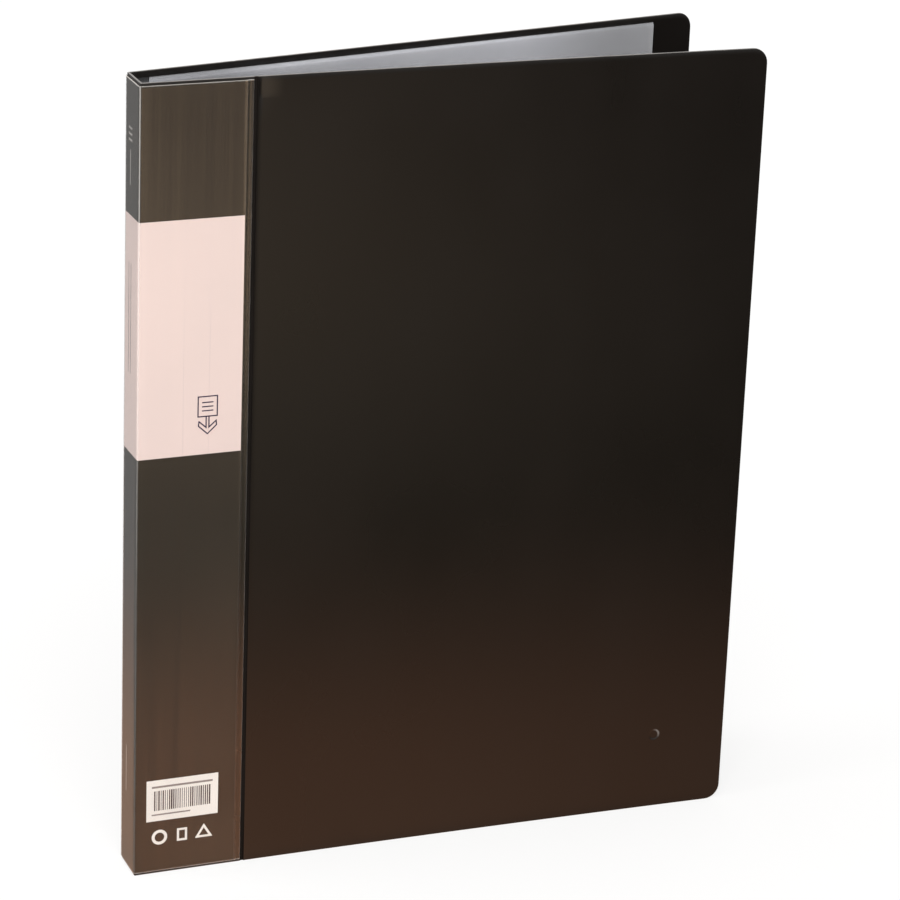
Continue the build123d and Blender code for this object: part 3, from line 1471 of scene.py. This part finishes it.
def leaf_tree(rib: Flat = (0.7, 1.3)) -> Tree:
    """Build the tree of one pocket: a thin leaf with ribbed welds at its free edge and foot.

    Args:
        rib: A rib's size along its weld and across it.

    Returns:
        The tree. It stores two attributes: weld is 1 on the welds, and along is the share of the length.
    """
    sizes = ("Length", "Height", "Thickness", "Seam", "Margin", "Wave", "Rib Pitch", "Rib Proud")
    inputs = {**dict.fromkeys(sizes, FLOAT), "Film": MATERIAL}
    graph = Group("pocket_leaf", "GeometryNodeTree", inputs, {"Leaf": GEOMETRY})
    length, height, thick, seam, margin, wave, pitch, proud, film = graph.given

    def slab(left: Any, right: Any, low: Any, high: Any, across: int, up: int, weld: float) -> Socket:
        """Add a flat part of the leaf.

        Args:
            left: Length at which it starts.
            right: Length at which it ends.
            low: Height of its foot.
            high: Height of its top.
            across: Points along its length.
            up: Points along its height.
            weld: Its weld attribute.

        Returns:
            Its socket.
        """
        wide, tall = graph.math("SUBTRACT", right, left), graph.math("SUBTRACT", high, low)
        size = graph.vector(wide, thick, tall)
        grid = {"Size": size, "Vertices X": across, "Vertices Y": 2, "Vertices Z": up}
        x, z = graph.math("MULTIPLY_ADD", wide, 0.5, left), graph.math("MULTIPLY_ADD", tall, 0.5, low)
        place = {"Geometry": graph.out("GeometryNodeMeshCube", grid), "Translation": graph.vector(x, 0.0, z)}
        return graph.mark(graph.out("GeometryNodeTransform", place), "weld", weld)

    def ribs(start: Socket, end: Socket, size: Socket) -> Socket:
        """Add a row of small ribs along a straight weld.

        Args:
            start: The row's first point.
            end: Its last point.
            size: A rib's size.

        Returns:
            Its socket.
        """
        line = graph.out("GeometryNodeCurvePrimitiveLine", {"Start": start, "End": end})
        steps = graph.out("GeometryNodeResampleCurve", {"Curve": line, "Length": pitch}, mode="LENGTH")
        stamp = {"Points": steps, "Instance": graph.out("GeometryNodeMeshCube", {"Size": size})}
        return graph.mark(graph.solid(graph.out("GeometryNodeInstanceOnPoints", stamp)), "weld", 1.0)

    free = graph.math("SUBTRACT", length, seam)
    half_seam = graph.math("MULTIPLY", seam, 0.5)
    edge, below_top = graph.math("SUBTRACT", length, half_seam), graph.math("SUBTRACT", height, seam)
    high_rib = graph.math("MULTIPLY_ADD", proud, 2.0, thick)
    step, wide = rib
    upright = graph.vector(edge, 0.0, seam), graph.vector(edge, 0.0, below_top)
    level = graph.vector(margin, 0.0, half_seam), graph.vector(free, 0.0, half_seam)
    parts = [
        slab(0.0, margin, 0.0, height, across=4, up=40, weld=0.0),
        slab(margin, free, seam, height, across=40, up=40, weld=0.0),
        slab(margin, free, 0.0, seam, across=40, up=2, weld=1.0),
        slab(free, length, 0.0, height, across=3, up=40, weld=1.0),
        ribs(*upright, graph.vector(wide, high_rib, step)),
        ribs(*level, graph.vector(step, high_rib, wide)),
    ]
    join = graph.add("GeometryNodeJoinGeometry")
    for part in reversed(parts):
        graph.feed(join, {0: part})
    share = graph.math("DIVIDE", graph.parts(graph.out("GeometryNodeInputPosition"))[0], length)
    swell = graph.math("SINE", graph.math("MULTIPLY", share, pi))
    lift = graph.math("MULTIPLY", graph.math("MULTIPLY", swell, swell), wave)
    moved = {"Geometry": join.outputs[0], "Offset": graph.vector(0.0, lift, 0.0)}
    solid = graph.solid(graph.mark(graph.out("GeometryNodeSetPosition", moved), "along", share))
    return graph.close(graph.out("GeometryNodeSetMaterial", {0: solid, "Material": film}))


@dataclass
class PocketBlock:
    """The clear pockets, each bound along one edge and turning on it."""

    count: int = 20
    solid_thickness: float = 0.15
    thickness: float = 0.06
    seam: float = 2.5
    margin: float = 5.0
    wave: float = -0.9
    rib_pitch: float = 1.6
    rib_proud: float = 0.012
    tuck: float = 0.1

    def build(self, tree: Tree, number: int, finish: Material) -> Mesh:
        """Build the mesh of one pocket.

        Args:
            tree: The leaf's geometry tree.
            number: The pocket's number, from the front.
            finish: The film's material.

        Returns:
            The mesh.
        """
        name, behind = f"pocket_{number:02d}", self.count - number
        bound = joint_place(f"{name}_hinge")
        low, high = (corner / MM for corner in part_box(name))
        way = (high.xy - bound).normalized()
        free = high.xy - Vector((way.y, way.x)) * (self.solid_thickness / 2) - bound
        way = free.normalized()
        forward = Vector((way.y, -way.x))
        values = {
            "Length": free.length - behind * self.tuck,
            "Height": high.z - low.z,
            "Thickness": self.thickness,
            "Seam": self.seam,
            "Margin": self.margin,
            "Wave": self.wave * behind / (self.count - 1),
            "Rib Pitch": self.rib_pitch,
            "Rib Proud": self.rib_proud,
            "Film": finish,
        }
        leaf = grown(tree, values)
        return laid(leaf, lambda x, z, y: Vector((*(bound + way * x + forward * y), low.z + z)) * MM)

    def dress(self, finish: Material) -> None:
        """Make every pocket.

        Args:
            finish: The film's material.
        """
        tree = leaf_tree()
        for number in range(1, self.count + 1):
            node, mesh = f"pocket_{number:02d}", self.build(tree, number, finish)
            new_piece(f"pocket_leaf_{number:02d}", mesh, finish, (node,), node)


@dataclass
class BindingBar:
    """The fused edge of the pockets, which keeps its CAD shape."""

    node: str = "binding_bar"

    def dress(self, finish: Material) -> None:
        """Give the bar its finish.

        Args:
            finish: The fused film's material.
        """
        bar = frame["nodes"][self.node]
        bar.data.materials.clear()
        bar.data.materials.append(finish)
        log.info("%s: finish", self.node)


@dataclass
class Studio:
    """Pale floor, soft lamps and the camera, in metres.

    The floor glows with painted reflections that only glossy rays see, standing in for a warm room: by depth
    in front of and behind the book, from -floor_depth at 0 to floor_depth at 1, and two tones beside the
    spine.
    """

    eye: Vector = Vector((-0.48205, -1.23883, 0.6302))
    look: Vector = Vector((0.3488, 0.8736, -0.3393))
    upward: Vector = Vector((0.0897, 0.3293, 0.9400))
    lens: float = 146.47
    sensor: float = 36.0
    aim: Vector = Vector((0.0, 0.0, 0.15))
    sky: float = 0.62
    sky_tint: Colour = (1.0, 0.99, 0.98, 1.0)
    transparent_bounces: int = 64
    floor_size: float = 12.0
    floor_pale: Colour = (0.88, 0.87, 0.86, 1.0)
    floor_paler: Colour = (0.92, 0.915, 0.91, 1.0)
    floor_rough: float = 0.9
    floor_white: float = 1.05
    shadow_reach: Flat = (0.15, 0.62)
    shadow_white: float = 0.72
    floor_depth: float = 0.9
    # painted reflection: warm and dark tones that the floor glows with for glossy rays only
    painted_reflection_tones: tuple[tuple[float, Colour], ...] = (
        (0.04, (1.15, 0.87, 0.60, 1.0)),
        (0.30, (0.10, 0.11, 0.085, 1.0)),
        (0.44, (0.68, 0.34, 0.20, 1.0)),
        (0.478, (0.67, 0.345, 0.205, 1.0)),
        (0.492, (0.26, 0.205, 0.17, 1.0)),
        (0.56, (0.29, 0.235, 0.19, 1.0)),
        (0.95, (0.17, 0.165, 0.16, 1.0)),
    )
    painted_side_reflection: Colour = (0.174, 0.180, 0.186, 1.0)
    painted_near_side_reflection: Colour = (0.335, 0.222, 0.168, 1.0)
    near_side: Flat = (-0.215, -0.155)
    side_edge: Flat = (-0.13, -0.116)
    painted_reflection_reach: Flat = (-0.1, 0.42)
    painted_reflection_strength: Flat = (1.5, 0.01)

    def floor(self) -> None:
        """Lay the floor: white to the eye with the book's shadow kept, and glowing with painted reflections.
        """
        bpy.ops.mesh.primitive_plane_add(size=self.floor_size)
        floor = bpy.context.object
        floor.name = "floor"
        paint = Paint("pale_floor")
        where = paint.here()
        x, y, _ = paint.parts(where)
        path = paint.add("ShaderNodeLightPath").outputs
        seen = paint.math("MAXIMUM", path["Is Camera Ray"], path["Is Transmission Ray"])
        distance = paint.out("ShaderNodeVectorMath", {0: where}, "Value", operation="LENGTH")
        bright = paint.scale(distance, *self.shadow_reach, self.shadow_white, 1.0)
        share = paint.math("MULTIPLY", seen, bright)
        white = paint.out("ShaderNodeEmission", {"Color": (1.0, 1.0, 1.0, 1.0), "Strength": self.floor_white})
        plain = paint.over(share, paint.shader.outputs[0], white)
        # painted reflection: glossy rays see the floor glow with these tones instead of white
        painted_pool = paint.ramp(paint.scale(y, -self.floor_depth, self.floor_depth), self.painted_reflection_tones)
        side = paint.blend(paint.scale(x, *self.near_side), self.painted_side_reflection, self.painted_near_side_reflection)
        tone = paint.blend(paint.scale(x, *self.side_edge), side, painted_pool)
        strength = paint.scale(x, *self.painted_reflection_reach, *self.painted_reflection_strength)
        painted_reflection = paint.out("ShaderNodeEmission", {"Color": tone, "Strength": strength})
        looks = {
            "Base Color": paint.blend(paint.noise(where, 3.0, detail=4.0), self.floor_pale, self.floor_paler),
            "Roughness": self.floor_rough,
            "Specular IOR Level": 0.0,
        }
        floor.data.materials.append(paint.close(looks, paint.over(path["Is Glossy Ray"], plain, painted_reflection)))

    def world(self) -> None:
        """Light the room softly from all round; the eye sees it white."""
        world = bpy.data.worlds.new("room")
        bpy.context.scene.world = world
        world.use_nodes = True
        world.node_tree.nodes.clear()
        graph = Graph(world.node_tree)
        seen = graph.out("ShaderNodeLightPath", output="Is Camera Ray")
        light = {"Color": self.sky_tint, "Strength": graph.scale(seen, 0.0, 1.0, self.sky, 1.0)}
        graph.add("ShaderNodeOutputWorld", {"Surface": graph.out("ShaderNodeBackground", light)})

    def lamp(self, name: str, place: Triple, power: float, size: float, tint: Triple) -> None:
        """Hang a square lamp that points at the book.

        Args:
            name: The lamp's name.
            place: Where it hangs.
            power: Its power in watts.
            size: Its side.
            tint: Its colour.
        """
        light = bpy.data.lights.new(name, "AREA")
        light.energy, light.size, light.color = power, size, tint
        lamp = bpy.data.objects.new(name, light)
        lamp.location = place
        lamp.rotation_euler = (self.aim - Vector(place)).to_track_quat("-Z", "Y").to_euler()
        bpy.context.scene.collection.objects.link(lamp)

    def camera(self) -> None:
        """Set the camera at the photograph's viewing angle."""
        data = bpy.data.cameras.new("camera")
        data.lens, data.sensor_width = self.lens, self.sensor
        camera = bpy.data.objects.new("camera", data)
        forward = self.look.normalized()
        right = forward.cross(self.upward).normalized()
        turn = Matrix((right, right.cross(forward), -forward)).transposed()
        camera.matrix_world = Matrix.Translation(self.eye) @ turn.to_4x4()
        bpy.context.scene.collection.objects.link(camera)
        bpy.context.scene.camera = camera

    def build(self) -> None:
        """Set up the whole studio."""
        scene = bpy.context.scene
        scene.view_settings.view_transform = "Standard"
        scene.cycles.transparent_max_bounces = self.transparent_bounces
        self.floor()
        self.world()
        self.lamp("key_lamp", (-0.55, -1.7, 1.6), power=32.0, size=1.6, tint=(1.0, 0.985, 0.965))
        self.lamp("fill_lamp", (-1.75, 0.1, 1.2), power=15.0, size=1.4, tint=(1.0, 0.99, 0.98))
        self.camera()


def main() -> None:
    """Build the book piece by piece, then the studio."""
    logging.basicConfig(level=logging.INFO, format="%(name)s %(message)s")
    effects.build()
    front, back = CoverPlan.of(Side.FRONT, bow=1.2), CoverPlan.of(Side.BACK, bow=0.0)
    sheet, pressed, film = (finish.material() for finish in (SheetFinish(), PRESSED_LINE, FilmFinish()))
    inks = {ink: ink_finish(ink).material() for ink in Ink}
    for side, plan in ((Side.FRONT, front), (Side.BACK, back)):
        FoldedCover(side, plan).dress(sheet, pressed)
        ClearSleeve(side, plan).dress(film)
    PrintedInsert(front, back).dress(CardFinish().material(), inks)
    PocketBlock().dress(PocketFinish().material())
    BindingBar().dress(FUSED_FILM.material())
    Studio().build()


if __name__ == "__main__":
    main()
